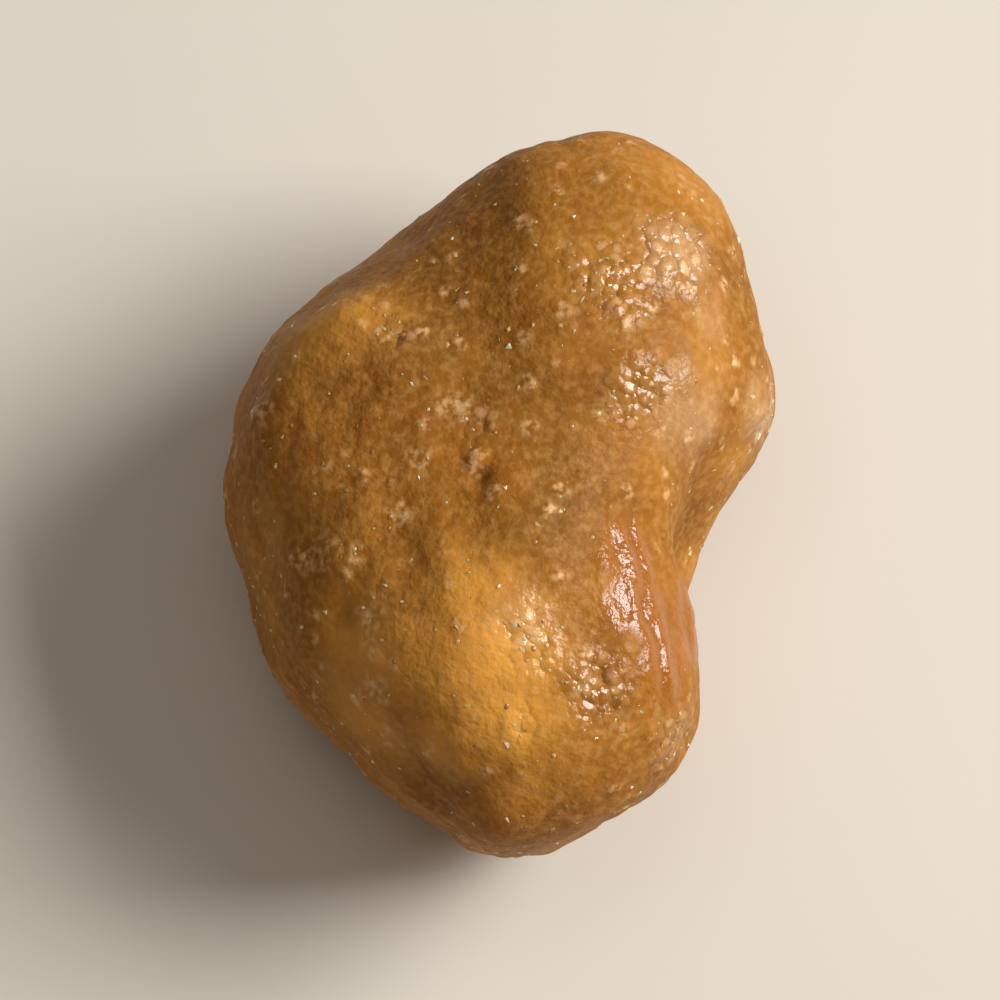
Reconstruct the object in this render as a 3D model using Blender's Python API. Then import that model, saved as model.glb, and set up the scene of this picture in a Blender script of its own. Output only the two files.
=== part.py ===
"""A toffee peanut: one large peanut inside a thick, uneven coat of cooked butter toffee.

Nothing of the nut shows, so the piece is one solid. Lobes of toffee that ran together while the batch
was tumbled make its form: a crown and a shoulder on the right, a cheek on the left and a foot below,
with a waist between shoulder and foot. It lies on the small flat where it set on the tray.

+Z is up, +Y runs along the piece from foot to crown, and the origin is on the tray, under the middle.
Units are metres. Lobes and marks are written in millimetres of the piece as first shaped, and the
finished surface is then fitted to the driving dimensions.
"""

import math

import bmesh
import bpy
import numpy as np
from mathutils import Vector, noise

MM = 0.001

# Driving dimensions
LENGTH = 23.3 * MM  # foot to crown, along Y
WIDTH = 17.4 * MM  # cheek to shoulder, along X
HEIGHT = 14.2 * MM  # tray to top, along Z

# How the lobes run together
BLEND = 0.9  # mm of rounding in the creases between lobes
FULLNESS = 2.5  # of a lobe's upper half: 2 is an ellipse, and more has a flatter top and steeper sides
HEART = (0.3, -0.3, 6.8)  # a point inside every large lobe, from which the surface is found
REACH = 16.0  # mm, farther from the heart than any lobe
HALVINGS = 34  # of the search for the surface along a line

# (name, middle x y z, half-size x y z, turn about Z in degrees), in mm
LOBES = (
    ("belly", (-1.2, 0.2, 6.2), (5.4, 7.8, 6.3), -14.0),
    ("crown", (3.2, 6.4, 7.4), (4.3, 4.8, 5.9), -10.0),
    ("shoulder", (3.9, 3.0, 7.2), (4.6, 3.7, 5.9), 0.0),
    ("brow", (-0.9, 5.0, 5.6), (4.1, 3.4, 5.6), 38.0),
    ("cheek", (-4.3, 1.2, 5.8), (4.1, 4.4, 5.8), 0.0),
    ("hip", (-3.0, -3.0, 5.8), (4.1, 3.9, 5.8), -40.0),
    ("foot", (0.6, -6.2, 7.1), (4.2, 5.1, 6.2), 2.0),
    ("heel", (3.4, -5.9, 9.0), (2.9, 3.9, 3.5), 8.0),
    ("sole", (-1.6, -5.2, 6.2), (2.4, 2.6, 5.6), 0.0),
    ("saddle", (2.0, -0.2, 6.4), (3.6, 5.4, 6.0), 8.0),
)

# Swellings and hollows in the coat: (name, place x y z, radius, height), in mm, hollows negative
MARKS = (
    ("valley below the crown", (-0.9, 7.2, 10.6), 2.6, -0.15),
    ("middle of the valley", (-0.6, 4.4, 12.0), 2.4, -0.45),
    ("end of the crease above the foot", (-2.8, -3.4, 11.4), 1.7, -0.60),
    ("bridge from belly to foot", (1.4, -2.4, 12.2), 1.8, 0.25),
    ("waist", (5.4, -2.6, 8.4), 2.2, -0.90),
    ("crease above the heel", (4.2, -2.8, 12.2), 1.1, -0.35),
    ("ridge of the cheek", (-4.2, 4.2, 11.0), 1.8, 0.45),
    ("dip between crown and shoulder", (6.9, 3.3, 11.3), 1.3, -0.25),
    ("instep", (-0.5, -4.6, 12.4), 1.6, 0.30),
    ("ridge of the foot", (0.8, -6.6, 13.4), 1.6, 0.25),
    ("groove beside the ridge", (2.6, -6.2, 12.8), 1.1, -0.30),
    ("bump of the heel", (5.1, -8.6, 9.6), 1.5, 0.40),
)

# Lumps all over, coarse to fine: (size, depth) in mm
LUMPS = ((5.0, 0.40), (2.4, 0.20), (1.2, 0.08))
NOISE_PLACE = Vector((11.3, -4.7, 7.9))  # the part of the noise that the lumps are read from

# Mesh and rest
CUTS = 29  # cuts across each face of the cube that becomes the surface
TRAY_LEVEL = -0.4  # mm, where the tray cuts the lobes
TRAY_EASE = 0.22  # mm over which the sides ease into the flat


def lobe_distance(points, middle, half_sizes, turn):
    """Roughly how far each point is outside one lobe, in mm, negative inside."""
    angle = math.radians(turn)
    offset = points - np.array(middle)
    along_x = offset[:, 0] * math.cos(angle) + offset[:, 1] * math.sin(angle)
    along_y = offset[:, 1] * math.cos(angle) - offset[:, 0] * math.sin(angle)
    plan = np.hypot(along_x / half_sizes[0], along_y / half_sizes[1])
    rise = np.abs(offset[:, 2] / half_sizes[2])
    fullness = np.where(offset[:, 2] > 0, FULLNESS, 2.0)
    shares = (plan**fullness + rise**fullness) ** (1 / fullness)
    return (shares - 1.0) * min(half_sizes)


def outside(points):
    """Distance outside the lobes run together, in mm, with their creases rounded by BLEND."""
    total = np.zeros(len(points))
    for _, middle, half_sizes, turn in LOBES:
        total += np.exp(-lobe_distance(points, middle, half_sizes, turn) / BLEND)
    return -BLEND * np.log(total)


def surface_points(directions):
    """Where the line from the heart in each direction leaves the toffee."""
    heart = np.array(HEART)
    near = np.zeros(len(directions))
    far = np.full(len(directions), REACH)
    for _ in range(HALVINGS):
        middle = (near + far) / 2
        inside = outside(heart + directions * middle[:, None]) < 0
        near = np.where(inside, middle, near)
        far = np.where(inside, far, middle)
    return heart + directions * near[:, None]


def surface_normals(points, step=0.02):
    """Outward unit normals of the toffee, from how the distance changes within a step of each point."""
    slopes = []
    for axis in np.eye(3) * step:
        slopes.append(outside(points + axis) - outside(points - axis))
    normals = np.column_stack(slopes)
    return normals / np.linalg.norm(normals, axis=1)[:, None]


def relief(points):
    """Height of the marks and lumps at each point, in mm."""
    height = np.zeros(len(points))
    for _, place, radius, rise in MARKS:
        away = np.linalg.norm(points - np.array(place), axis=1) / radius
        height += rise * np.exp(-(away**2))
    for size, depth in LUMPS:
        height += [depth * noise.noise(Vector(p) / size + NOISE_PLACE) for p in points]
    return height


def eased_onto_tray(heights):
    """Heights above the tray: what would sink into it lies flat, and the sides round into the flat."""
    eased = (heights + TRAY_EASE) ** 2 / (4 * TRAY_EASE)
    return np.where(heights > TRAY_EASE, heights, np.where(heights < -TRAY_EASE, 0.0, eased))


def fitted(points):
    """The surface scaled to the driving dimensions, its base on the tray and its middle over the origin."""
    low, high = points.min(axis=0), points.max(axis=0)
    size = np.array((WIDTH, LENGTH, HEIGHT))
    placed = (points - low) / (high - low) * size
    placed[:, :2] -= size[:2] / 2
    return placed


def round_cube():
    """A cube cut into a grid, each corner a direction, spaced evenly for the piece's proportions."""
    mesh = bmesh.new()
    bmesh.ops.create_cube(mesh, size=2.0)
    bmesh.ops.subdivide_edges(mesh, edges=mesh.edges[:], cuts=CUTS, use_grid_fill=True)
    corners = np.array([v.co for v in mesh.verts])
    spread = np.tan(corners * math.pi / 4) * np.array((WIDTH, LENGTH, HEIGHT))
    directions = spread / np.linalg.norm(spread, axis=1)[:, None]
    return mesh, directions


def toffee_material():
    """Cooked butter toffee: amber brown, with a satin, sugary surface."""
    material = bpy.data.materials.new("butter_toffee")
    material.use_nodes = True
    shader = material.node_tree.nodes["Principled BSDF"]
    shader.inputs["Base Color"].default_value = (0.40, 0.19, 0.05, 1.0)
    shader.inputs["Roughness"].default_value = 0.42
    shader.inputs["Metallic"].default_value = 0.0
    return material


def toffee_peanut(collection):
    """The coated nut as one closed surface."""
    grid, directions = round_cube()
    surface = surface_points(directions)
    surface += surface_normals(surface) * relief(surface)[:, None]
    surface[:, 2] = eased_onto_tray(surface[:, 2] - TRAY_LEVEL)
    for vertex, place in zip(grid.verts, fitted(surface)):
        vertex.co = place
    bmesh.ops.triangulate(grid, faces=grid.faces[:], quad_method="SHORT_EDGE")
    bmesh.ops.recalc_face_normals(grid, faces=grid.faces[:])
    mesh = bpy.data.meshes.new("toffee_peanut")
    grid.to_mesh(mesh)
    grid.free()
    mesh.shade_smooth()
    mesh.materials.append(toffee_material())
    piece = bpy.data.objects.new("toffee_peanut", mesh)
    collection.objects.link(piece)
    return piece


def main():
    for old in list(bpy.data.objects):
        bpy.data.objects.remove(old)
    collection = bpy.data.collections.new("toffee_peanut")
    bpy.context.scene.collection.children.link(collection)
    toffee_peanut(collection)


main()
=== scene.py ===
"""How the toffee peanut looks: cooked butter toffee over a nut, sugary in places and glassy at its waist.

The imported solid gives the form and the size. One Geometry Nodes tree wraps a finer shell over it and gives it
the coat's small relief, another grows sugar on that shell, and the materials read what the first one stores
on the surface. Places are in millimetres in the part's own frame: +X to the right, +Y along the piece from
foot to crown, and +Z up from the floor.
"""

import math

import bmesh
import bpy
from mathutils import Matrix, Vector


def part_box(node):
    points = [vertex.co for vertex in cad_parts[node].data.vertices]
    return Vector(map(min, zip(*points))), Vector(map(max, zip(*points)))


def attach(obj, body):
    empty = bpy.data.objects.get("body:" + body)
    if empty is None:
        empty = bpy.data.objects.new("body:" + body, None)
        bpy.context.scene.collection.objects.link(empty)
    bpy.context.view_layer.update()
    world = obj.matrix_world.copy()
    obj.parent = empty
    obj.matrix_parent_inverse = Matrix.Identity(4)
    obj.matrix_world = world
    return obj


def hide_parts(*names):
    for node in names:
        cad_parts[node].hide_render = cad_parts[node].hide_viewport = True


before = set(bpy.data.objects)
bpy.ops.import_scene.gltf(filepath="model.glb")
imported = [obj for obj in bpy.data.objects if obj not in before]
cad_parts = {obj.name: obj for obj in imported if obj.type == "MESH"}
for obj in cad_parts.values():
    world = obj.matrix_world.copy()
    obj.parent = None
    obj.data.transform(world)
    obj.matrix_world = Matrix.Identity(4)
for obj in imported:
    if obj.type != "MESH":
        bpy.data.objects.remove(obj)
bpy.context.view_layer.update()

NODE = "toffee_peanut"
MM = 0.001

# Where the coat differs: (place x y z, reach, share), in mm. A place fades out to nothing at its reach.
# Thin over the nut, so that it is golden
THIN_COAT = (
    ((-1.0, -5.0, 13.9), 2.4, 0.8),
    ((0.2, -6.7, 13.7), 2.8, 1.0),
    ((0.3, -8.7, 13.0), 2.6, 1.0),
    ((0.8, -10.0, 11.8), 2.2, 0.6),
    ((-1.8, -6.9, 13.5), 2.6, 0.7),
    ((-3.8, -6.2, 12.3), 3.0, 0.7),
    ((-1.8, -9.1, 12.0), 2.2, 0.7),
    ((-4.0, -8.0, 10.6), 2.6, 0.6),
    ((-4.9, 4.6, 12.2), 2.6, 0.6),
    ((-6.0, 3.6, 11.6), 2.4, 0.4),
    ((-7.6, -2.0, 4.0), 3.0, 0.6),
    ((3.0, 11.2, 5.0), 2.6, 0.6),
    ((8.0, 5.0, 4.5), 2.6, 0.4),
)
# Darker and duller: partly cooked longer, partly painted shade at the right edge, the waist and the middle of
# the top
DARKER_COOK_AND_SHADE = (
    ((-1.8, 3.8, 13.1), 2.6, 1.0),
    ((-2.0, 5.4, 12.3), 2.2, 0.9),
    ((0.0, 2.0, 13.5), 2.0, 0.8),
    ((1.6, -0.6, 13.9), 2.2, 0.8),
    ((1.8, -2.4, 13.8), 2.2, 0.9),
    ((3.4, -1.6, 13.6), 2.4, 0.6),
    ((0.2, 6.2, 13.3), 2.2, 0.6),
    ((2.2, 7.4, 13.2), 1.8, 0.4),
    ((-6.0, -2.7, 11.7), 2.2, 0.6),
    ((7.4, 6.2, 10.0), 3.0, 0.8),
    ((8.0, 4.2, 10.0), 2.4, 0.8),
    ((1.6, -11.4, 9.4), 2.6, 0.4),
    ((5.6, -1.5, 8.6), 3.0, 0.6),
)
# More red: partly caramelised a little further, partly painted warm light thrown back onto the lower parts
REDDER_AND_WARM_BOUNCE = (
    ((-0.4, -0.6, 13.7), 2.6, 0.6),
    ((-5.4, 0.2, 12.4), 2.4, 0.4),
    ((1.0, -11.0, 10.4), 3.6, 0.8),
    ((5.4, -9.4, 9.0), 2.6, 0.6),
    ((3.2, -6.8, 13.1), 2.4, 0.8),
    ((-1.0, 10.4, 6.0), 3.0, 0.5),
    ((-7.6, -4.0, 5.0), 3.4, 0.5),
)
# Syrup that set clear, with no grain
BARE_SYRUP = (
    ((4.0, -3.4, 12.8), 1.8, 1.0),
    ((3.6, -5.2, 13.2), 1.3, 0.6),
    ((4.5, -5.0, 12.5), 2.0, 1.0),
    ((5.0, -6.6, 11.8), 1.8, 0.9),
    ((5.8, -5.0, 10.6), 2.4, 0.7),
)
# Syrup that grained into crystals
SUGAR = (
    ((3.6, 5.2, 13.9), 3.0, 1.0),
    ((5.4, 6.3, 13.3), 3.0, 1.0),
    ((4.3, 1.7, 13.8), 2.4, 1.0),
    ((8.4, 2.4, 8.4), 2.4, 1.0),
    ((3.0, -7.7, 13.1), 2.5, 1.0),
    ((1.0, -6.4, 13.8), 2.2, 0.9),
    ((0.8, -8.6, 13.0), 1.4, 0.7),
    ((5.2, -8.4, 10.6), 2.2, 0.9),
    ((-3.3, 3.7, 13.0), 1.3, 1.0),
    ((2.5, 1.2, 14.0), 1.0, 0.4),
    ((-7.5, 1.9, 10.9), 1.2, 0.4),
    ((-0.7, 0.6, 13.6), 1.8, 0.8),
    ((-2.6, 6.8, 11.4), 2.4, 0.4),
    ((-4.1, -5.1, 12.9), 1.6, 0.6),
)
# An even, pale blooming of sugar, partly painted highlight: pale where soft highlights fall on the shoulder and
# crown
BLOOM_AND_HIGHLIGHT = (
    ((5.8, 1.2, 12.8), 2.2, 1.0),
    ((6.6, 4.4, 12.8), 1.5, 0.5),
    ((5.4, 6.3, 13.2), 1.8, 1.0),
    ((7.9, 2.4, 10.0), 1.3, 0.8),
    ((0.6, -5.6, 13.9), 1.4, 0.5),
)
# Single pale flecks of grained sugar, partly painted glints where bright specks show
PALE_FLECKS_AND_GLINTS = (
    ((-3.8, -7.4, 11.9), 0.9, 1.0),
    ((-3.2, -2.1, 13.2), 0.8, 0.9),
    ((-7.3, 1.8, 11.1), 0.8, 1.0),
    ((-0.7, -0.6, 13.7), 0.8, 1.0),
    ((-1.6, 1.3, 13.4), 0.8, 0.9),
    ((-4.1, -5.5, 12.7), 0.8, 0.9),
    ((-4.0, -6.3, 12.4), 0.7, 0.8),
    ((-6.0, -3.1, 11.6), 0.9, 0.8),
    ((-5.3, -2.9, 12.2), 0.8, 0.7),
    ((-2.4, -0.5, 13.4), 0.8, 0.6),
)

# Dents and bumps too small for the solid: (place x y z, reach, height), in mm, dents negative
DETAILS = (
    ((-0.6, -1.1, 13.8), 0.6, -0.18),
    ((-0.7, -0.5, 13.7), 0.6, 0.16),
    ((-4.9, -5.0, 12.1), 1.1, -0.18),
    ((-3.7, -3.8, 13.2), 1.0, 0.12),
    ((8.1, 2.4, 9.4), 1.3, 0.20),
    ((7.0, 1.8, 11.6), 1.1, -0.15),
)

# The streaks of the bare syrup, which run down the side of the foot
ACROSS_STREAKS = (0.72, 0.20, -0.66)
STREAK_WAVER = 9.0  # radians between the least and the most that a noise shifts them
WAVER_SCALE = 0.7  # of that noise, per mm

SHELL_SIZES = {
    "Vertices": 128,  # along each side of the cube that is wrapped over the solid: 193,548 triangles
    "Smoothing": 2,  # subdivisions of the solid before it is wrapped, so that its facets don't show
    "Upward share": 0.2,  # by which the grid is finer at the top of the piece than at its sides
    "Wander size": 1.25,  # mm, of the noise that moves things about
    "Edge wander": 1.6,  # mm that it moves the edges of the places
    "Grain wander": 0.5,  # mm that it moves grains and blisters
    "Drift size": 3.4,  # mm, of the sugar that lies between the places
    "Lump size": 3.0,
    "Lump height": 0.14,
    "Knob size": 1.1,
    "Knob height": 0.04,
    "Patch size": 1.8,  # mm, of the stronger and weaker grain
    "Grain size": 0.8,
    "Grain height": 0.12,
    "Blister size": 1.05,
    "Blister height": 0.05,
    "Streak width": 1.0,
    "Streak height": 0.14,
}

# How a noise, a draw or a share, from 0 to 1 unless it says mm, becomes a share of something else: the limits
# of a Map Range node, where a limit that isn't given is 0 or 1.
DRIFT_RANGE = {"From Min": 0.50, "From Max": 0.72, "To Max": 0.45}  # noise to sugar between the places
PATCH_RANGE = {"From Min": 0.40, "From Max": 0.62, "To Min": 0.08, "To Max": 0.42}  # noise to grain
DOME_RANGE = {"From Min": 0.42, "From Max": 0.0}  # how far out on a blister to how high it is there
FLECKED_RANGE = {"From Min": 0.2, "From Max": 0.5}  # a blister's draw to how flecked it is
BLOOMED_RANGE = {"To Min": 1.0, "To Max": 0.3}  # bloom to the share of the grain that still shows
SWING_RANGE = {"From Min": 0.25, "From Max": 0.75, "To Min": -1.0, "To Max": 1.0}  # noise to up and down
FOOTING_RANGE = {"From Min": 0.1, "From Max": 1.6}  # mm above the floor to the share of the relief

NOISE_MIDDLE = (0.5, 0.5, 0.5)
FLECK_GRAIN = 0.8  # how strongly a fleck is grained
GRANULE_LEVEL = 0.8  # the height of a granule, 0.6 to 1, that lies level with the coat around it
HOLLOW_ROUNDS = 24  # of averaging with its neighbours that give the coat around a point
JOIN_DISTANCE = 1e-6  # m between corners of loose triangles that are one


def linear(hex_colour):
    """An sRGB hex colour as linear RGBA."""
    parts = [int(hex_colour[i : i + 2], 16) / 255 for i in (1, 3, 5)]
    return (*[p / 12.92 if p <= 0.04045 else ((p + 0.055) / 1.055) ** 2.4 for p in parts], 1.0)


def per_metre(size):
    """The scale of a pattern that repeats about every size mm, for coordinates in metres."""
    return 1 / (size * MM)


def add(tree, kind, inputs=None, **settings):
    """Adds a node: settings are its properties, and each input, by name or number, is a value or a socket."""
    made = tree.nodes.new(kind)
    for name, value in settings.items():
        setattr(made, name, value)
    for key, value in (inputs or {}).items():
        if isinstance(value, bpy.types.NodeSocket):
            tree.links.new(value, made.inputs[key])
        else:
            made.inputs[key].default_value = value
    return made


def new_tree(name, sizes):
    """A Geometry Nodes tree with named inputs for its sizes, and its input and output nodes."""
    tree = bpy.data.node_groups.new(name, "GeometryNodeTree")
    tree.is_modifier = True
    tree.interface.new_socket("Geometry", in_out="OUTPUT", socket_type="NodeSocketGeometry")
    tree.interface.new_socket("Geometry", in_out="INPUT", socket_type="NodeSocketGeometry")
    for size, value in sizes.items():
        kind = "NodeSocketInt" if isinstance(value, int) else "NodeSocketFloat"
        tree.interface.new_socket(size, in_out="INPUT", socket_type=kind)
    return tree, tree.nodes.new("NodeGroupInput"), tree.nodes.new("NodeGroupOutput")


def grown(name, base, tree, sizes):
    """The plain mesh object that a tree makes of a base mesh with these sizes."""
    piece = bpy.data.objects.new(name, base)
    bpy.context.scene.collection.objects.link(piece)
    modifier = piece.modifiers.new(name, "NODES")
    modifier.node_group = tree
    for socket in tree.interface.items_tree:
        if socket.in_out == "INPUT" and socket.name in sizes:
            modifier[socket.identifier] = sizes[socket.name]
    view_layer = bpy.context.evaluated_depsgraph_get()
    mesh = bpy.data.meshes.new_from_object(
        piece.evaluated_get(view_layer), preserve_all_data_layers=True, depsgraph=view_layer
    )
    piece.modifiers.clear()
    piece.data = mesh
    mesh.name = name
    return piece


def near_places(tree, position, places):
    """The greatest share of these places at a position in mm, each fading smoothly to 0 at its reach."""
    greatest = None
    for place, reach, share in places:
        inputs = {0: position, 1: place}
        away = add(tree, "ShaderNodeVectorMath", inputs, operation="DISTANCE").outputs["Value"]
        inputs = {"Value": away, "From Min": reach, "From Max": 0.0, "To Max": share}
        here = add(tree, "ShaderNodeMapRange", inputs, interpolation_type="SMOOTHSTEP").outputs[0]
        if greatest is None:
            greatest = here
        else:
            greatest = add(tree, "ShaderNodeMath", {0: greatest, 1: here}, operation="MAXIMUM").outputs[0]
    return greatest


def granules(tree, at, scale):
    """Rounded grains side by side: their height, from 1 on top to about 0.6 between, and each one's draw."""
    cells = add(tree, "ShaderNodeTexVoronoi", {"Vector": at, "Scale": scale})
    away = cells.outputs["Distance"]
    away = add(tree, "ShaderNodeMath", {0: away, 1: away}, operation="MULTIPLY").outputs[0]
    height = add(tree, "ShaderNodeMath", {0: 1.0, 1: away}, operation="SUBTRACT").outputs[0]
    draw = add(tree, "ShaderNodeSeparateXYZ", {0: cells.outputs["Color"]}).outputs[0]
    return height, draw


def wrap_over_solid(tree, size, place, heart, reach):
    """A cube of grid squares, each corner sent out from the heart to where it meets the solid."""
    # The solid in millimetres, because rays miss triangles whose sides are only ten-thousandths long
    inputs = {"Geometry": size["Geometry"], "Scale": (1 / MM, 1 / MM, 1 / MM)}
    solid = add(tree, "GeometryNodeTransform", inputs).outputs[0]
    inputs = {"Mesh": solid, "Level": size["Smoothing"]}
    solid = add(tree, "GeometryNodeSubdivisionSurface", inputs).outputs[0]

    # Directions at even angles across each side of the cube, for a piece of these proportions
    side = size["Vertices"]
    inputs = {"Size": (2, 2, 2), "Vertices X": side, "Vertices Y": side, "Vertices Z": side}
    cube = add(tree, "GeometryNodeMeshCube", inputs).outputs["Mesh"]
    inputs = {0: place, "Scale": math.pi / 4}
    direction = add(tree, "ShaderNodeVectorMath", inputs, operation="SCALE").outputs[0]
    direction = add(tree, "ShaderNodeVectorMath", {0: direction}, operation="TANGENT").outputs[0]
    inputs = {0: direction, 1: reach}
    direction = add(tree, "ShaderNodeVectorMath", inputs, operation="MULTIPLY").outputs[0]
    direction = add(tree, "ShaderNodeVectorMath", {0: direction}, operation="NORMALIZE").outputs[0]
    upward = add(tree, "ShaderNodeCombineXYZ", {"Z": size["Upward share"]}).outputs[0]
    direction = add(tree, "ShaderNodeVectorMath", {0: direction, 1: upward}, operation="ADD").outputs[0]

    # The heart is linked, because an unlinked Source Position means each point's own place, and the rays
    # are long enough to leave the piece on any side
    source = add(tree, "FunctionNodeInputVector", vector=heart / MM).outputs[0]
    inputs = {
        "Target Geometry": solid,
        "Source Position": source,
        "Ray Direction": direction,
        "Ray Length": 4 * reach.length / MM,
    }
    met = add(tree, "GeometryNodeRaycast", inputs).outputs["Hit Position"]
    met = add(tree, "ShaderNodeVectorMath", {0: met, "Scale": MM}, operation="SCALE").outputs[0]
    return add(tree, "GeometryNodeSetPosition", {"Geometry": cube, "Position": met}).outputs[0]


def moved_about(tree, at, wander, much):
    """Coordinates that a noise has moved about by up to this much."""
    step = add(tree, "ShaderNodeVectorMath", {0: wander, "Scale": much}, operation="SCALE").outputs[0]
    return add(tree, "ShaderNodeVectorMath", {0: at, 1: step}, operation="ADD").outputs[0]


def finishes(tree, scale, at, wandering, stirred):
    """The share of each finish of the coat, by the name that it is stored under."""
    share = {}
    for name, places in (
        ("thin_coat", THIN_COAT),
        ("darker_cook_and_shade", DARKER_COOK_AND_SHADE),
        ("redder_and_warm_bounce", REDDER_AND_WARM_BOUNCE),
        ("bare_syrup", BARE_SYRUP),
        ("sugar", SUGAR),
        ("bloom_and_highlight", BLOOM_AND_HIGHLIGHT),
    ):
        share[name] = near_places(tree, wandering, places)

    # Drifts of sugar between its places
    inputs = {"Vector": at, "Scale": scale["Drift size"], "Detail": 3.0}
    drifts = add(tree, "ShaderNodeTexNoise", inputs).outputs[0]
    inputs = {"Value": drifts, **DRIFT_RANGE}
    drifts = add(tree, "ShaderNodeMapRange", inputs, interpolation_type="SMOOTHSTEP").outputs[0]
    inputs = {0: share["sugar"], 1: drifts}
    share["sugar"] = add(tree, "ShaderNodeMath", inputs, operation="MAXIMUM").outputs[0]

    # Blisters, and the pale flecks of sugar that grained on top of most of them
    inputs = {"Vector": stirred, "Scale": scale["Blister size"]}
    cells = add(tree, "ShaderNodeTexVoronoi", inputs)
    inputs = {"Value": cells.outputs["Distance"], **DOME_RANGE}
    domes = add(tree, "ShaderNodeMapRange", inputs, interpolation_type="SMOOTHSTEP").outputs[0]
    share["blisters"] = domes
    draw = add(tree, "ShaderNodeSeparateXYZ", {0: cells.outputs["Color"]}).outputs[0]
    drawn = add(tree, "ShaderNodeMapRange", {"Value": draw, **FLECKED_RANGE}).outputs[0]
    flecked = add(tree, "ShaderNodeMath", {0: domes, 1: drawn}, operation="MULTIPLY").outputs[0]
    # Placed pale flecks, partly painted glints
    placed = near_places(tree, stirred, PALE_FLECKS_AND_GLINTS)
    flecked = add(tree, "ShaderNodeMath", {0: flecked, 1: placed}, operation="MAXIMUM").outputs[0]
    coated = add(tree, "ShaderNodeMath", {0: 1.0, 1: share["bare_syrup"]}, operation="SUBTRACT").outputs[0]
    flecked = add(tree, "ShaderNodeMath", {0: flecked, 1: coated}, operation="MULTIPLY").outputs[0]
    share["flecks"] = flecked

    # Grain: patches of it all over, strong in the sugar and the flecks, and none on the bare syrup
    inputs = {"Vector": at, "Scale": scale["Patch size"], "Detail": 2.0}
    patches = add(tree, "ShaderNodeTexNoise", inputs).outputs[0]
    grained = add(tree, "ShaderNodeMapRange", {"Value": patches, **PATCH_RANGE}).outputs[0]
    strong = add(tree, "ShaderNodeMath", {0: flecked, 1: FLECK_GRAIN}, operation="MULTIPLY").outputs[0]
    for more in (share["sugar"], strong):
        grained = add(tree, "ShaderNodeMath", {0: grained, 1: more}, operation="MAXIMUM").outputs[0]
    unbloomed = add(tree, "ShaderNodeMapRange", {"Value": share["bloom_and_highlight"], **BLOOMED_RANGE}).outputs[0]
    for less in (coated, unbloomed):
        grained = add(tree, "ShaderNodeMath", {0: grained, 1: less}, operation="MULTIPLY").outputs[0]
    share["grained"] = grained
    return share


def relief(tree, size, scale, at, stirred):
    """How far the coat's relief stands above the wrapped solid, in mm, from the shares stored on it."""
    stored = {}
    for name in ("bare_syrup", "grained", "blisters"):
        inputs = {"Name": name}
        stored[name] = add(tree, "GeometryNodeInputNamedAttribute", inputs, data_type="FLOAT").outputs[0]
    bare = stored["bare_syrup"]
    coated = add(tree, "ShaderNodeMath", {0: 1.0, 1: bare}, operation="SUBTRACT").outputs[0]

    # Lumps all over, and knobs, granules and blisters off the bare syrup
    layers = []
    for name, detail, share in (("Lump", 0.0, 1.0), ("Knob", 1.0, coated)):
        inputs = {"Vector": at, "Scale": scale[name + " size"], "Detail": detail}
        noise = add(tree, "ShaderNodeTexNoise", inputs).outputs[0]
        swing = add(tree, "ShaderNodeMapRange", {"Value": noise, **SWING_RANGE}).outputs[0]
        layers.append((swing, size[name + " height"], share))
    grain, _ = granules(tree, stirred, scale["Grain size"])
    grain = add(tree, "ShaderNodeMath", {0: grain, 1: GRANULE_LEVEL}, operation="SUBTRACT").outputs[0]
    layers.append((grain, size["Grain height"], stored["grained"]))
    layers.append((stored["blisters"], size["Blister height"], coated))

    # Streaks on the bare syrup, half of their height above it and half below
    inputs = {0: at, 1: ACROSS_STREAKS}
    across = add(tree, "ShaderNodeVectorMath", inputs, operation="DOT_PRODUCT").outputs["Value"]
    turns = add(tree, "ShaderNodeMath", {0: math.tau, 1: size["Streak width"]}, operation="DIVIDE").outputs[0]
    across = add(tree, "ShaderNodeMath", {0: across, 1: turns}, operation="MULTIPLY").outputs[0]
    inputs = {"Vector": at, "Scale": WAVER_SCALE, "Detail": 2.0}
    waver = add(tree, "ShaderNodeTexNoise", inputs).outputs[0]
    waver = add(tree, "ShaderNodeMath", {0: waver, 1: STREAK_WAVER}, operation="MULTIPLY").outputs[0]
    across = add(tree, "ShaderNodeMath", {0: across, 1: waver}, operation="ADD").outputs[0]
    streaks = add(tree, "ShaderNodeMath", {0: across}, operation="SINE").outputs[0]
    half = add(tree, "ShaderNodeMath", {0: size["Streak height"], 1: 0.5}, operation="MULTIPLY").outputs[0]
    layers.append((streaks, half, bare))

    heights = []
    for form, tall, share in layers:
        form = add(tree, "ShaderNodeMath", {0: form, 1: tall}, operation="MULTIPLY").outputs[0]
        heights.append(add(tree, "ShaderNodeMath", {0: form, 1: share}, operation="MULTIPLY").outputs[0])
    for detail in DETAILS:
        heights.append(near_places(tree, at, (detail,)))
    height = heights[0]
    for more in heights[1:]:
        height = add(tree, "ShaderNodeMath", {0: height, 1: more}, operation="ADD").outputs[0]

    # None of it where the piece lies on the floor
    up = add(tree, "ShaderNodeSeparateXYZ", {0: at}).outputs["Z"]
    inputs = {"Value": up, **FOOTING_RANGE}
    clear = add(tree, "ShaderNodeMapRange", inputs, interpolation_type="SMOOTHSTEP").outputs[0]
    return add(tree, "ShaderNodeMath", {0: height, 1: clear}, operation="MULTIPLY").outputs[0]


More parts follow.
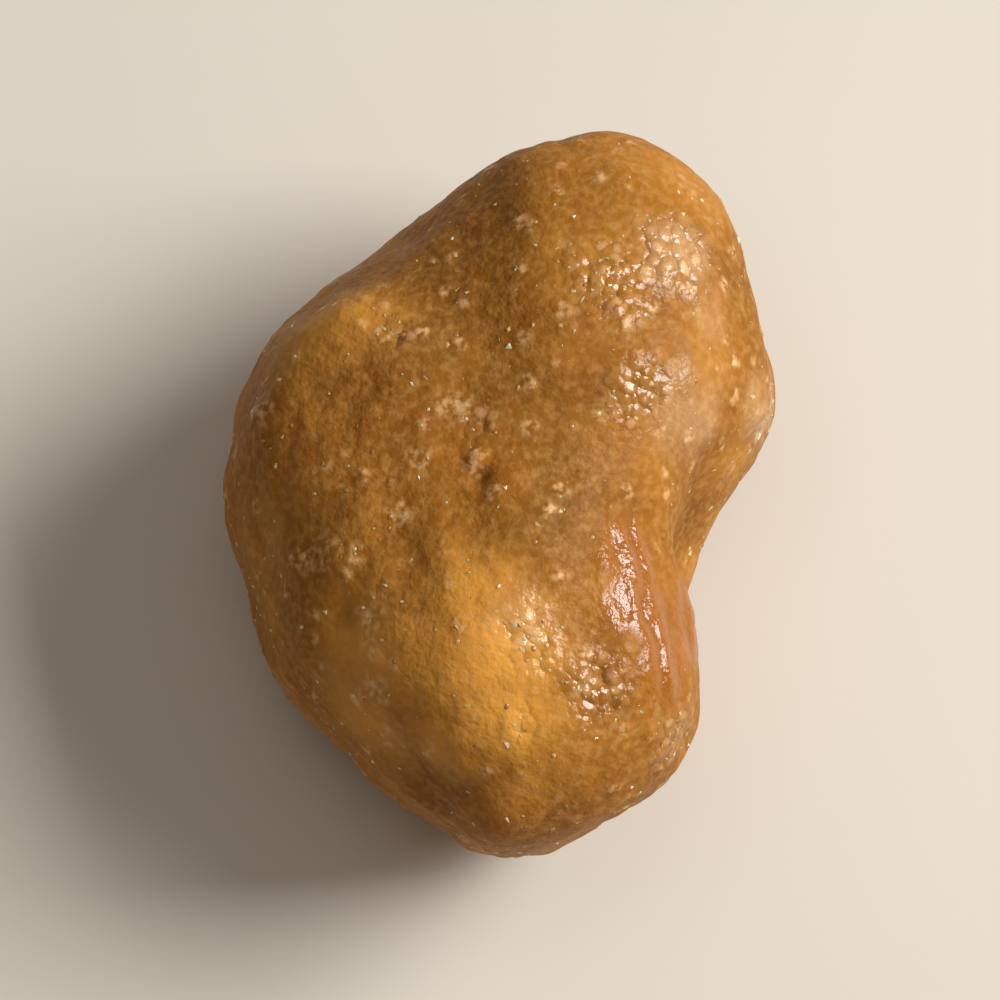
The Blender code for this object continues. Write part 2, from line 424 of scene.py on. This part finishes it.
def shell_tree(heart, reach, material):
    """Wraps a fine grid over the solid from its heart, gives it relief, and stores what the toffee reads."""
    tree, given, result = new_tree("toffee shell", SHELL_SIZES)
    size = given.outputs
    place = add(tree, "GeometryNodeInputPosition").outputs[0]
    shell = wrap_over_solid(tree, size, place, heart, reach)

    # Patterns are laid out in mm, and the scale of one is how many of it there are to the mm
    scale = {}
    for name in SHELL_SIZES:
        if name.endswith(" size"):
            scale[name] = add(tree, "ShaderNodeMath", {0: 1.0, 1: size[name]}, operation="DIVIDE").outputs[0]
    at = add(tree, "ShaderNodeVectorMath", {0: place, "Scale": 1 / MM}, operation="SCALE").outputs[0]
    inputs = {"Vector": at, "Scale": scale["Wander size"], "Detail": 3.0}
    wander = add(tree, "ShaderNodeTexNoise", inputs).outputs["Color"]
    inputs = {0: wander, 1: NOISE_MIDDLE}
    wander = add(tree, "ShaderNodeVectorMath", inputs, operation="SUBTRACT").outputs[0]
    wandering = moved_about(tree, at, wander, size["Edge wander"])
    stirred = moved_about(tree, at, wander, size["Grain wander"])
    for name, share in finishes(tree, scale, at, wandering, stirred).items():
        inputs = {"Geometry": shell, "Name": name, "Value": share}
        shell = add(tree, "GeometryNodeStoreNamedAttribute", inputs, data_type="FLOAT").outputs[0]

    height = relief(tree, size, scale, at, stirred)
    height = add(tree, "ShaderNodeMath", {0: height, 1: MM}, operation="MULTIPLY").outputs[0]
    normal = add(tree, "GeometryNodeInputNormal").outputs[0]
    offset = add(tree, "ShaderNodeVectorMath", {0: normal, "Scale": height}, operation="SCALE").outputs[0]
    shell = add(tree, "GeometryNodeSetPosition", {"Geometry": shell, "Offset": offset}).outputs[0]

    # How far each point stands above the coat around it, in mm, for painted shade in the hollows
    inputs = {"Value": place, "Iterations": HOLLOW_ROUNDS}
    around = add(tree, "GeometryNodeBlurAttribute", inputs, data_type="FLOAT_VECTOR").outputs[0]
    stands = add(tree, "ShaderNodeVectorMath", {0: place, 1: around}, operation="SUBTRACT").outputs[0]
    inputs = {0: stands, 1: normal}
    stands = add(tree, "ShaderNodeVectorMath", inputs, operation="DOT_PRODUCT").outputs["Value"]
    stands = add(tree, "ShaderNodeMath", {0: stands, 1: 1 / MM}, operation="MULTIPLY").outputs[0]
    inputs = {"Geometry": shell, "Name": "standing", "Value": stands}
    shell = add(tree, "GeometryNodeStoreNamedAttribute", inputs, data_type="FLOAT").outputs[0]

    shell = add(tree, "GeometryNodeSetShadeSmooth", {"Geometry": shell}).outputs[0]
    shell = add(tree, "GeometryNodeRealizeInstances", {"Geometry": shell}).outputs[0]
    shell = add(tree, "GeometryNodeSetMaterial", {"Geometry": shell, "Material": material}).outputs[0]
    tree.links.new(shell, result.inputs[0])
    return tree


def merged_copy(node):
    """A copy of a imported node's mesh with its loose triangles joined."""
    mesh = bmesh.new()
    mesh.from_mesh(node.data)
    bmesh.ops.remove_doubles(mesh, verts=mesh.verts[:], dist=JOIN_DISTANCE)
    joined = bpy.data.meshes.new("joined solid")
    mesh.to_mesh(joined)
    mesh.free()
    return joined


FINE_SUGAR = {
    "Spacing": 0.40 * MM,
    "Roundness": 2,
    "Smallest grain": 0.16 * MM,
    "Largest grain": 0.42 * MM,
    "Unevenness": 0.025 * MM,
    "Sunk share": 0.42,
    "Least cover": 0.04,
    "Seed": 5,
}
CRYSTALS = {
    "Spacing": 0.45 * MM,
    "Roundness": 1,
    "Smallest grain": 0.14 * MM,
    "Largest grain": 0.46 * MM,
    "Unevenness": 0.04 * MM,
    "Sunk share": 0.40,
    "Least cover": 0.12,
    "Seed": 23,
}
COVER_RANGE = {"From Min": 0.35, "From Max": 0.9}  # how grained the coat is to how thick the sugar lies
COATED_RANGE = {"From Max": 0.5, "To Min": 1.0, "To Max": 0.0}  # bare syrup to the sugar that stuck to it
LOWEST_RANGE = {"From Min": 0.2 * MM, "From Max": 0.8 * MM}  # height above the floor to the sugar there
MOST_GRAINS = 1e9  # to the square metre, before the spacing thins them
MOSTLY_LOW = 2.0  # the power that makes most draws low, for small grains and tones near the toffee's
SMOOTH_FROM = 1.5  # Roundness above which a grain is smooth, and not faceted


def sugar_tree(name, sizes, material):
    """Grows sugar on the shell: each grain a small uneven nugget, turned at random and sunk in the toffee."""
    tree, given, result = new_tree(name, sizes)
    size = given.outputs
    inputs = {"Name": "grained"}
    grained = add(tree, "GeometryNodeInputNamedAttribute", inputs, data_type="FLOAT").outputs[0]
    inputs = {"Name": "bare_syrup"}
    bare = add(tree, "GeometryNodeInputNamedAttribute", inputs, data_type="FLOAT").outputs[0]
    place = add(tree, "GeometryNodeInputPosition").outputs[0]
    up = add(tree, "ShaderNodeSeparateXYZ", {0: place}).outputs["Z"]

    # Thick where the coat is grained, thin elsewhere, and none on bare syrup or under the piece
    inputs = {"Value": grained, "To Min": size["Least cover"], **COVER_RANGE}
    cover = add(tree, "ShaderNodeMapRange", inputs).outputs[0]
    for value, kept in ((bare, COATED_RANGE), (up, LOWEST_RANGE)):
        less = add(tree, "ShaderNodeMapRange", {"Value": value, **kept}).outputs[0]
        cover = add(tree, "ShaderNodeMath", {0: cover, 1: less}, operation="MULTIPLY").outputs[0]
    inputs = {
        "Mesh": size["Geometry"],
        "Distance Min": size["Spacing"],
        "Density Max": MOST_GRAINS,
        "Density Factor": cover,
        "Seed": size["Seed"],
    }
    scattered = add(tree, "GeometryNodeDistributePointsOnFaces", inputs, distribute_method="POISSON")

    # Sizes drawn so that most grains are small, and each grain's own tone from toffee to clear sugar
    draw = add(tree, "FunctionNodeRandomValue", {"Seed": 7}, data_type="FLOAT").outputs[1]
    draw = add(tree, "ShaderNodeMath", {0: draw, 1: MOSTLY_LOW}, operation="POWER").outputs[0]
    inputs = {"Value": draw, "To Min": size["Smallest grain"], "To Max": size["Largest grain"]}
    grain = add(tree, "ShaderNodeMapRange", inputs).outputs[0]
    sunk = add(tree, "ShaderNodeMath", {0: grain, 1: size["Sunk share"]}, operation="MULTIPLY").outputs[0]
    sunk = add(tree, "ShaderNodeMath", {0: sunk, 1: -1.0}, operation="MULTIPLY").outputs[0]
    inputs = {0: scattered.outputs["Normal"], "Scale": sunk}
    down = add(tree, "ShaderNodeVectorMath", inputs, operation="SCALE").outputs[0]
    inputs = {"Geometry": scattered.outputs[0], "Offset": down}
    points = add(tree, "GeometryNodeSetPosition", inputs).outputs[0]
    tone = add(tree, "FunctionNodeRandomValue", {"Seed": 11}, data_type="FLOAT").outputs[1]
    inputs = {"Geometry": points, "Name": "tone", "Value": tone}
    points = add(tree, "GeometryNodeStoreNamedAttribute", inputs, data_type="FLOAT").outputs[0]
    # A nugget that is one across, so that its scale is its size
    inputs = {"Radius": 0.5, "Subdivisions": size["Roundness"]}
    nugget = add(tree, "GeometryNodeMeshIcoSphere", inputs).outputs[0]
    inputs = {"Max": (math.tau, math.tau, math.tau), "Seed": 3}
    turn = add(tree, "FunctionNodeRandomValue", inputs, data_type="FLOAT_VECTOR").outputs[0]
    inputs = {"Points": points, "Instance": nugget, "Rotation": turn, "Scale": grain}
    grains = add(tree, "GeometryNodeInstanceOnPoints", inputs).outputs[0]
    grains = add(tree, "GeometryNodeRealizeInstances", {"Geometry": grains}).outputs[0]

    # Each corner of each grain moved a little, so that no two are alike
    inputs = {"Min": (-1, -1, -1), "Max": (1, 1, 1), "Seed": 29}
    nudge = add(tree, "FunctionNodeRandomValue", inputs, data_type="FLOAT_VECTOR").outputs[0]
    inputs = {0: nudge, "Scale": size["Unevenness"]}
    nudge = add(tree, "ShaderNodeVectorMath", inputs, operation="SCALE").outputs[0]
    grains = add(tree, "GeometryNodeSetPosition", {"Geometry": grains, "Offset": nudge}).outputs[0]
    inputs = {0: size["Roundness"], 1: SMOOTH_FROM}
    smooth = add(tree, "FunctionNodeCompare", inputs, operation="GREATER_THAN").outputs[0]
    inputs = {"Geometry": grains, "Shade Smooth": smooth}
    grains = add(tree, "GeometryNodeSetShadeSmooth", inputs).outputs[0]
    grains = add(tree, "GeometryNodeSetMaterial", {"Geometry": grains, "Material": material}).outputs[0]
    tree.links.new(grains, result.inputs[0])
    return tree


# Cooked butter toffee: sugar and butter boiled to amber and grained as it was tumbled, so it is satin, a
# little translucent and mottled, golden where it lies thin over the nut and red amber where it set clear.
TOFFEE_BROWN = "#88541d"
TOFFEE_OCHRE = "#ac7128"
# Also painted warm bounce light in the more red places
TOFFEE_AMBER = "#985a1a"
TOFFEE_YELLOW = "#9c6c1f"
# Darker toffee, also painted shade in the darker places
DARK_TOFFEE_AND_SHADE = "#774d1b"
# Painted shade for the hollows of the relief
HOLLOW_SHADE_BROWN = "#6b3c10"
THIN_GOLD = "#df9c40"
CLEAR_AMBER = "#9a5a14"
FINE_DUST = "#d09c58"
# Also painted highlight and glints where the pale places lie
SUGAR_TAN = "#deb07c"

# What it reads of what the shell stores
TOFFEE_READS = (
    "thin_coat",
    "darker_cook_and_shade",
    "redder_and_warm_bounce",
    "bare_syrup",
    "sugar",
    "bloom_and_highlight",
    "flecks",
    "grained",
    "standing",
)
TOFFEE_NOISES = {  # (size in mm, detail)
    "cooking": (3.5, 4.0),
    "blotches": (1.5, 3.0),
    "satin": (0.9, 3.0),
    "specks": (0.6, 3.0),
    "dust": (0.28, 3.0),
    "sand": (0.22, 2.0),
}
CRYSTAL_SIZE = 0.42  # mm
CRYSTAL_SHIFT = 0.3  # mm that a noise moves crystals about
CRYSTAL_SHIFT_SIZE = 0.8  # mm, of that noise

# How a noise, a draw or a share becomes a share of a colour or a finish, in limits as above
COOKING_RANGE = {"From Min": 0.36, "From Max": 0.66}
BLOTCH_RANGE = {"From Min": 0.48, "From Max": 0.72, "To Max": 0.6}
SPECK_RANGE = {"From Min": 0.45, "From Max": 0.65, "To Max": 0.4}
DARKER_COOK_AND_SHADE_MOST = 0.85
CLEAR_RANGE = {"From Max": 0.6}  # bare syrup to its clear colour
HOLLOW_SHADE_RANGE = {"From Min": 0.0, "From Max": -0.12, "To Max": 0.45}  # standing, in mm, to a deeper brown
DUST_RANGE = {"From Min": 0.42, "From Max": 0.72}
DUSTY_RANGE = {"To Min": 0.35, "To Max": 0.0}  # clear syrup to the dust on it
FLECK_RANGE = {"From Min": 0.15, "From Max": 0.6, "To Max": 0.9}
TIP_RANGE = {"From Min": 0.75, "From Max": 0.97}  # a crystal's height to how pale it is
PALE_DRAW_RANGE = {"From Min": 0.3, "From Max": 1.0}  # its draw to how pale it is
TIPPED_RANGE = {"From Min": 0.1, "From Max": 0.7, "To Max": 0.6}  # sugar to how far such tips show
# Painted highlight, with the sugar blooming: how pale those places become
PALE_BLOOM_AND_HIGHLIGHT = 0.45
SATIN_RANGE = {"To Min": 0.44, "To Max": 0.60}  # roughness of the plain coat
ROUGHNESS_OF = (("sugar", 0.34), ("darker_cook_and_shade", 0.65), ("bloom_and_highlight", 0.40), ("bare_syrup", 0.34))
SAND_RANGE = {"To Min": 0.55, "To Max": 0.3}  # grain to the strength of the finer sand
SAND_HEIGHT = 0.12  # mm
CRYSTAL_RANGE = {"From Min": 0.25, "From Max": 0.9}  # sugar to the strength of its crystals
CRYSTAL_HEIGHT = 0.15  # mm
GLAZE_RANGE = {"From Min": 0.35, "From Max": 0.9, "To Min": 0.04}  # sugar to glaze
GLASSY_RANGE = {"From Min": 0.2, "From Max": 0.6}  # bare syrup to a full glaze
BLOOM_GLAZE = 0.8
GLAZE_ROUGHNESS = 0.17


def toffee_colour(tree, noise, share, tips):
    """The toffee's colour: how far it was cooked, painted shade and light, what lies over it, and the sugar on
    top.
    """
    cooked = add(tree, "ShaderNodeMapRange", {"Value": noise["cooking"], **COOKING_RANGE}).outputs[0]
    blotches = add(tree, "ShaderNodeMapRange", {"Value": noise["blotches"], **BLOTCH_RANGE}).outputs[0]
    # Painted warm bounce light, with further caramelising, in the more red places
    blotches = add(tree, "ShaderNodeMath", {0: blotches, 1: share["redder_and_warm_bounce"]}, operation="MAXIMUM").outputs[0]
    specks = add(tree, "ShaderNodeMapRange", {"Value": noise["specks"], **SPECK_RANGE}).outputs[0]
    # Painted shade, with a darker cook, in the darker places
    inputs = {0: share["darker_cook_and_shade"], 1: DARKER_COOK_AND_SHADE_MOST}
    dark = add(tree, "ShaderNodeMath", inputs, operation="MULTIPLY").outputs[0]
    clear = add(tree, "ShaderNodeMapRange", {"Value": share["bare_syrup"], **CLEAR_RANGE}).outputs[0]
    # Painted shade: a deeper brown in the hollows of the relief
    hollow_shade = add(tree, "ShaderNodeMapRange", {"Value": share["standing"], **HOLLOW_SHADE_RANGE}).outputs[0]
    dust = add(tree, "ShaderNodeMapRange", {"Value": noise["dust"], **DUST_RANGE}).outputs[0]
    dusty = add(tree, "ShaderNodeMapRange", {"Value": clear, **DUSTY_RANGE}).outputs[0]
    dusty = add(tree, "ShaderNodeMath", {0: dusty, 1: dust}, operation="MULTIPLY").outputs[0]

    # Pale sugar, partly painted glints and highlight: flecks and some crystal tips off the bare syrup, and an
    # even blooming
    # The placed flecks are partly painted glints
    flecks = add(tree, "ShaderNodeMapRange", {"Value": share["flecks"], **FLECK_RANGE}).outputs[0]
    flecks = add(tree, "ShaderNodeMath", {0: flecks, 1: dust}, operation="MULTIPLY").outputs[0]
    tipped = add(tree, "ShaderNodeMapRange", {"Value": share["sugar"], **TIPPED_RANGE}).outputs[0]
    tips = add(tree, "ShaderNodeMath", {0: tips, 1: tipped}, operation="MULTIPLY").outputs[0]
    pale = add(tree, "ShaderNodeMath", {0: flecks, 1: tips}, operation="ADD").outputs[0]
    pale = add(tree, "ShaderNodeMix", {0: clear, 2: pale, 3: 0.0}).outputs[0]
    # Painted highlight: pale where the soft highlights fall, with the even sugar blooming
    bloom_and_highlight = add(tree, "ShaderNodeMath", {0: share["bloom_and_highlight"], 1: PALE_BLOOM_AND_HIGHLIGHT}, operation="MULTIPLY").outputs[0]
    pale = add(tree, "ShaderNodeMath", {0: pale, 1: bloom_and_highlight}, operation="ADD", use_clamp=True).outputs[0]

    colour = linear(TOFFEE_BROWN)
    for much, over in (
        (cooked, TOFFEE_OCHRE),
        (blotches, TOFFEE_AMBER),
        (specks, TOFFEE_YELLOW),
        (dark, DARK_TOFFEE_AND_SHADE),
        (share["thin_coat"], THIN_GOLD),
        (clear, CLEAR_AMBER),
        (hollow_shade, HOLLOW_SHADE_BROWN),
        (dusty, FINE_DUST),
        (pale, SUGAR_TAN),
    ):
        inputs = {0: much, 6: colour, 7: linear(over)}
        colour = add(tree, "ShaderNodeMix", inputs, data_type="RGBA").outputs[2]
    return colour


def toffee_material():
    """Cooked butter toffee."""
    material = bpy.data.materials.new("cooked butter toffee")
    material.use_nodes = True
    tree = material.node_tree
    shader = tree.nodes["Principled BSDF"]
    at = add(tree, "ShaderNodeTexCoord").outputs["Object"]
    noise = {}
    for name, (size, detail) in TOFFEE_NOISES.items():
        inputs = {"Vector": at, "Scale": per_metre(size), "Detail": detail}
        noise[name] = add(tree, "ShaderNodeTexNoise", inputs).outputs[0]
    share = {}
    for name in TOFFEE_READS:
        share[name] = add(tree, "ShaderNodeAttribute", attribute_name=name).outputs["Fac"]

    # Crystals, shifted about a little so that no two are alike, the taller tips of some of them paler
    inputs = {"Vector": at, "Scale": per_metre(CRYSTAL_SHIFT_SIZE)}
    shift = add(tree, "ShaderNodeTexNoise", inputs).outputs["Color"]
    crystals, draw = granules(tree, moved_about(tree, at, shift, CRYSTAL_SHIFT * MM), per_metre(CRYSTAL_SIZE))
    tips = add(tree, "ShaderNodeMapRange", {"Value": crystals, **TIP_RANGE}).outputs[0]
    some = add(tree, "ShaderNodeMapRange", {"Value": draw, **PALE_DRAW_RANGE}).outputs[0]
    tips = add(tree, "ShaderNodeMath", {0: tips, 1: some}, operation="MULTIPLY").outputs[0]
    tree.links.new(toffee_colour(tree, noise, share, tips), shader.inputs["Base Color"])

    # Satin where it grained, glossy where it set clear
    rough = add(tree, "ShaderNodeMapRange", {"Value": noise["satin"], **SATIN_RANGE}).outputs[0]
    for name, there in ROUGHNESS_OF:
        rough = add(tree, "ShaderNodeMix", {0: share[name], 2: rough, 3: there}).outputs[0]
    tree.links.new(rough, shader.inputs["Roughness"])

    # The grain that is too fine for the mesh: a soft sand all over, and round crystals where it is sugared
    strength = add(tree, "ShaderNodeMapRange", {"Value": share["grained"], **SAND_RANGE}).outputs[0]
    inputs = {"Height": noise["sand"], "Strength": strength, "Distance": SAND_HEIGHT * MM}
    bump = add(tree, "ShaderNodeBump", inputs).outputs[0]
    strength = add(tree, "ShaderNodeMapRange", {"Value": share["sugar"], **CRYSTAL_RANGE}).outputs[0]
    inputs = {"Height": crystals, "Strength": strength, "Distance": CRYSTAL_HEIGHT * MM, "Normal": bump}
    bump = add(tree, "ShaderNodeBump", inputs).outputs[0]
    tree.links.new(bump, shader.inputs["Normal"])
    tree.links.new(bump, shader.inputs["Coat Normal"])

    # A syrup glaze over the sugared and the bare places
    glaze = add(tree, "ShaderNodeMapRange", {"Value": share["sugar"], **GLAZE_RANGE}).outputs[0]
    glaze = add(tree, "ShaderNodeMix", {0: share["bloom_and_highlight"], 2: glaze, 3: BLOOM_GLAZE}).outputs[0]
    glassy = add(tree, "ShaderNodeMapRange", {"Value": share["bare_syrup"], **GLASSY_RANGE}).outputs[0]
    glaze = add(tree, "ShaderNodeMix", {0: glassy, 2: glaze, 3: 1.0}).outputs[0]
    tree.links.new(glaze, shader.inputs["Coat Weight"])
    shader.inputs["Coat Roughness"].default_value = GLAZE_ROUGHNESS

    shader.inputs["IOR"].default_value = 1.5
    shader.inputs["Specular IOR Level"].default_value = 0.05
    shader.inputs["Subsurface Weight"].default_value = 0.25
    shader.inputs["Subsurface Radius"].default_value = (1.0, 0.40, 0.12)
    shader.inputs["Subsurface Scale"].default_value = 0.8 * MM
    return material


# Grained sugar: nuggets that take the colour of the toffee under them or are paler, and let light through.
# The fine sugar is coated with syrup and satin, and the larger crystals are clear and glint.
SUGARS = (  # name, sizes, darkest colour, palest colour, roughness
    ("fine_sugar", FINE_SUGAR, "#a56e2c", "#dcae70", 0.24),
    ("sugar_crystals", CRYSTALS, "#d2a25c", "#ffe8c0", 0.14),
)


def sugar_material(name, dark, pale, roughness):
    """Sugar that grained out of the syrup, most of its grains near the dark colour and a few pale."""
    material = bpy.data.materials.new(name)
    material.use_nodes = True
    tree = material.node_tree
    shader = tree.nodes["Principled BSDF"]
    tone = add(tree, "ShaderNodeAttribute", attribute_name="tone").outputs["Fac"]
    tone = add(tree, "ShaderNodeMath", {0: tone, 1: MOSTLY_LOW}, operation="POWER").outputs[0]
    inputs = {0: tone, 6: linear(dark), 7: linear(pale)}
    colour = add(tree, "ShaderNodeMix", inputs, data_type="RGBA").outputs[2]
    tree.links.new(colour, shader.inputs["Base Color"])
    shader.inputs["Roughness"].default_value = roughness
    shader.inputs["IOR"].default_value = 1.54
    shader.inputs["Subsurface Weight"].default_value = 0.7
    shader.inputs["Subsurface Radius"].default_value = (1.0, 0.7, 0.4)
    shader.inputs["Subsurface Scale"].default_value = 0.3 * MM
    return material


def build_piece():
    """The coat and its sugar."""
    low, high = (Vector(corner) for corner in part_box(NODE))
    tree = shell_tree((low + high) / 2, (high - low) / 2, toffee_material())
    coat = grown("toffee_coat", merged_copy(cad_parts[NODE]), tree, SHELL_SIZES)
    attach(coat, "root")
    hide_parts(NODE)
    for name, sizes, dark, pale, roughness in SUGARS:
        material = sugar_material(name.replace("_", " "), dark, pale, roughness)
        grains = grown(name, coat.data.copy(), sugar_tree(name, sizes, material), sizes)
        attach(grains, "root")


FLOOR_REACH = 2.0  # m from the middle to each side
PALE_PAPER = "#d6cec1"
ROOM_COLOUR = "#ffeeda"
ROOM_STRENGTH = 0.16


def floor_and_room():
    """A plain pale floor, and a weak even light all round."""
    mesh = bmesh.new()
    bmesh.ops.create_grid(mesh, x_segments=1, y_segments=1, size=FLOOR_REACH)
    plane = bpy.data.meshes.new("floor")
    mesh.to_mesh(plane)
    mesh.free()
    floor = bpy.data.objects.new("floor", plane)
    bpy.context.scene.collection.objects.link(floor)
    paper = bpy.data.materials.new("pale matt paper")
    paper.use_nodes = True
    shader = paper.node_tree.nodes["Principled BSDF"]
    shader.inputs["Base Color"].default_value = linear(PALE_PAPER)
    shader.inputs["Roughness"].default_value = 0.9
    plane.materials.append(paper)

    world = bpy.data.worlds.new("soft room")
    bpy.context.scene.world = world
    world.use_nodes = True
    background = world.node_tree.nodes["Background"]
    background.inputs["Color"].default_value = linear(ROOM_COLOUR)
    background.inputs["Strength"].default_value = ROOM_STRENGTH


# The photograph looks down on the piece from 75 degrees above the horizon
CAMERA_HEIGHT_ANGLE = 75
CAMERA_AWAY = 0.30  # m from the middle of the piece
VIEW_WIDTH = 0.0315  # m across the picture at the piece
AIM = Vector((0, 0, 0.007))  # the middle of the piece, in m


def camera_axes():
    """Right, up and towards the camera."""
    angle = math.radians(CAMERA_HEIGHT_ANGLE)
    return (
        Vector((1, 0, 0)),
        Vector((0, math.sin(angle), math.cos(angle))),
        Vector((0, -math.cos(angle), math.sin(angle))),
    )


def place_camera():
    """The camera, at the photograph's viewing angle."""
    back = camera_axes()[2]
    lens = bpy.data.cameras.new("camera")
    camera = bpy.data.objects.new("camera", lens)
    bpy.context.scene.collection.objects.link(camera)
    camera.location = AIM + back * CAMERA_AWAY
    camera.rotation_euler = back.to_track_quat("Z", "Y").to_euler()
    lens.lens = lens.sensor_width * CAMERA_AWAY / VIEW_WIDTH
    lens.clip_start = 0.01
    bpy.context.scene.camera = camera


def place_light(name, towards, away, size, power):
    """A square soft light, in a direction given as right, up and towards the camera in the picture."""
    right, up, back = camera_axes()
    direction = (right * towards[0] + up * towards[1] + back * towards[2]).normalized()
    light = bpy.data.lights.new(name, "AREA")
    light.size = size
    light.energy = power
    lamp = bpy.data.objects.new(name, light)
    bpy.context.scene.collection.objects.link(lamp)
    lamp.location = AIM + direction * away
    lamp.rotation_euler = direction.to_track_quat("Z", "Y").to_euler()
    lamp.visible_camera = False


build_piece()
floor_and_room()
place_camera()
place_light("soft light from the right", towards=(0.74, 0.32, 0.60), away=0.30, size=0.16, power=1.26)
place_light("weak light from above", towards=(-0.1, 0.3, 1.0), away=0.40, size=0.20, power=0.20)
bpy.context.scene.view_settings.view_transform = "Standard"
